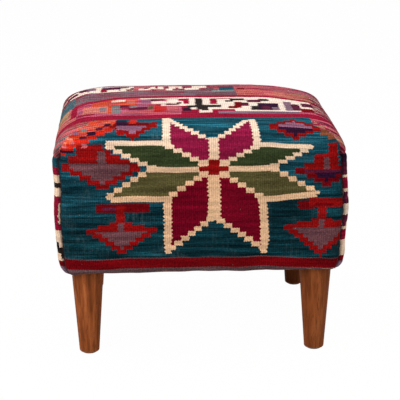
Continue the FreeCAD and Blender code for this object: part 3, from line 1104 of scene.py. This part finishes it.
def padding_strips(material):
    """Thin foam on the four sides of the frame, with softened edges."""
    end_gap = 0.024
    for side in ("front", "back", "left", "right"):
        low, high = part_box(side + "_padding")
        along = 0 if side in ("front", "back") else 1
        low[along] += end_gap
        high[along] -= end_gap
        bpy.ops.object.select_all(action="DESELECT")
        bpy.ops.mesh.primitive_cube_add(size=1, location=(low + high) / 2)
        strip = placed("padding_strip_" + side, high - low)
        bevel_edges(0.0016, 3)
        finished(strip, "frame", "foam", [side + "_padding"], material)


def under_cover(material):
    """The black cambric under the frame, open round the legs and sagging a little."""
    low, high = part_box("dust_cover")
    size = (high.x - low.x, high.y - low.y)
    bpy.ops.object.select_all(action="DESELECT")
    bpy.ops.mesh.primitive_grid_add(
        x_subdivisions=96, y_subdivisions=84, size=1, location=(0, 0, high.z))
    sheet = placed("cambric_under_cover", (*size, 1))
    mesh = sheet.data
    bpy.ops.object.mode_set(mode="EDIT")
    bpy.ops.mesh.select_all(action="DESELECT")
    bpy.ops.object.mode_set(mode="OBJECT")
    for face in mesh.polygons:
        centre = face.center
        face.select = math.hypot(abs(centre.x) - leg_x, abs(centre.y) - leg_y) < leg_room
    bpy.ops.object.mode_set(mode="EDIT")
    bpy.ops.mesh.delete(type="FACE")
    bpy.ops.object.mode_set(mode="OBJECT")
    points = np.array([v.co for v in mesh.vertices])
    used = [point for face in mesh.polygons for point in face.vertices]
    on_edge = np.bincount(used, minlength=len(points)) < 4
    onto_leg_rims(points, leg_room * 1.35, on_edge)
    mesh.vertices.foreach_set("co", points.reshape(-1))
    mesh.update()
    share = (1 - (points[:, 0] / high.x) ** 2) * (1 - (points[:, 1] / high.y) ** 2)
    ripple = np.array([noise.noise(Vector(point) * 9) for point in points])
    points[:, 2] -= np.clip(share, 0, 1) * (0.004 + 0.002 * ripple)
    mesh.vertices.foreach_set("co", points.reshape(-1))
    mesh.update()
    apply_modifier(sheet, "SOLIDIFY", thickness=0.0008, offset=-1)
    finished(sheet, "frame", "cambric", ["dust_cover"], material)


def felt_glides(material):
    for corner in corners:
        low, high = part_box("felt_pad_" + corner)
        bpy.ops.object.select_all(action="DESELECT")
        bpy.ops.mesh.primitive_cylinder_add(
            vertices=40, radius=(high.x - low.x) / 2, depth=high.z - low.z, location=(low + high) / 2)
        glide = placed("felt_glide_" + corner)
        bevel_edges(0.0004, 2)
        finished(glide, "leg_" + corner, "felt", ["felt_pad_" + corner], material)


kilim_materials = (kilim_strip_finish(), kilim_side_finish())
leg_wood = stained_leg_finish()
rail_wood = pale_wood_finish("rail_pine", (0.42, 0.25, 0.12, 1), (0.62, 0.42, 0.22, 1), (0.12, 0.12, 1))
ply_wood = pale_wood_finish("birch_plywood", (0.46, 0.31, 0.17, 1), (0.66, 0.48, 0.28, 1), (0.1, 1, 3))
foam_grain = soft_finish("seat_foam", (0.62, 0.54, 0.33, 1), (0.78, 0.70, 0.47, 1), 420, 0.5, 0.0008)
wadding_grain = soft_finish(
    "polyester_wadding", (0.72, 0.72, 0.70, 1), (0.9, 0.9, 0.88, 1), 160, 0.7, 0.0015)
cambric_grain = soft_finish(
    "black_cambric", (0.009, 0.009, 0.010, 1), (0.028, 0.028, 0.030, 1), 900, 0.5, 0.0003)
felt_grain = soft_finish("brown_felt", (0.055, 0.035, 0.022, 1), (0.12, 0.08, 0.05, 1), 700, 0.8, 0.0006)
thread_grain = soft_finish(
    "sewing_thread", (0.02, 0.012, 0.014, 1), (0.06, 0.03, 0.03, 1), 1500, 0.5, 0.0003)
zinc = metal_finish("zinc_plate", (0.42, 0.42, 0.40, 1), (0.62, 0.61, 0.57, 1), 0.25)
staple_wire = metal_finish("staple_wire", (0.36, 0.36, 0.36, 1), (0.55, 0.55, 0.54, 1), 0.3)

kilim_cover(kilim_materials)
stuffing(foam_grain, wadding_grain)
padding_strips(foam_grain)
under_cover(cambric_grain)
felt_glides(felt_grain)

# The first word found in a node's name gives its finish; the rest is hardware
node_finishes = (
    ("leg_washer", zinc),
    ("leg_", leg_wood),
    ("_rail", rail_wood),
    ("corner_block", rail_wood),
    ("seat_deck", ply_wood),
    ("staples", staple_wire),
)
for name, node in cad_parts.items():
    finish = next((made for word, made in node_finishes if word in name), zinc)
    for material_slot in node.material_slots:
        material_slot.material = finish


def lamp(name, place, target, size, power):
    data = bpy.data.lights.new(name, "AREA")
    data.size = size
    data.energy = power
    light = bpy.data.objects.new(name, data)
    light.location = place
    bpy.context.scene.collection.objects.link(light)
    direction = Vector(target) - light.location
    light.rotation_euler = direction.to_track_quat("-Z", "Y").to_euler()


def white_rays(finish):
    """1 for the rays that see the background itself."""
    path = finish.node("ShaderNodeLightPath", {}, {})
    outputs = path.socket.node.outputs
    seen = Value(finish, outputs["Is Camera Ray"]) | Value(finish, outputs["Is Glossy Ray"])
    return seen | Value(finish, outputs["Is Transmission Ray"])


def studio():
    """A white room with soft light from the upper left."""
    world = bpy.data.worlds.new("studio")
    bpy.context.scene.world = world
    world.use_nodes = True
    air = Finish("studio", world.node_tree)
    strength = 0.35 + white_rays(air) * 0.65
    light = air.node("ShaderNodeBackground", {}, {"Color": white, "Strength": strength})
    air.node("ShaderNodeOutputWorld", {}, {"Surface": light})
    lamp("key", (-1.8, -2.1, 1.9), (0, 0, 0.25), 1.4, 44)
    lamp("overhead", (-0.1, 0.0, 2.4), (0, 0, 0.3), 2.0, 41)
    lamp("fill", (2.2, -1.7, 1.2), (0, 0, 0.25), 1.6, 7)
    bpy.ops.object.select_all(action="DESELECT")
    bpy.ops.mesh.primitive_plane_add(size=14, location=(0, 0, -0.0004))
    floor = placed("studio_floor")
    paint = Finish("white_floor")
    matt = paint.node("ShaderNodeBsdfDiffuse", {}, {"Color": floor_grey})
    glow = paint.node("ShaderNodeEmission", {}, {"Color": white, "Strength": 1.0})
    both = paint.node("ShaderNodeMixShader", {}, {0: white_rays(paint) * 0.985, 1: matt, 2: glow})
    paint.node("ShaderNodeOutputMaterial", {}, {"Surface": both})
    floor.data.materials.append(paint.material)


def photo_camera():
    """The camera where the photograph was taken from."""
    yaw, pitch, roll = 0.041, 0.277, -0.0046
    level = math.cos(pitch)
    forward = Vector((math.sin(yaw) * level, math.cos(yaw) * level, -math.sin(pitch)))
    right = Vector((math.cos(yaw), -math.sin(yaw), 0))
    up = right.cross(forward)
    image_right = math.cos(roll) * right + math.sin(roll) * up
    image_up = math.cos(roll) * up - math.sin(roll) * right
    data = bpy.data.cameras.new("photo_camera")
    data.sensor_width = 36
    data.lens = 135.1
    camera = bpy.data.objects.new("photo_camera", data)
    turn = Matrix((image_right, image_up, -forward)).transposed().to_4x4()
    camera.matrix_world = Matrix.Translation((-0.1005, -2.5639, 0.946)) @ turn
    bpy.context.scene.collection.objects.link(camera)
    bpy.context.scene.camera = camera


studio()
photo_camera()
bpy.context.scene.view_settings.view_transform = "Standard"
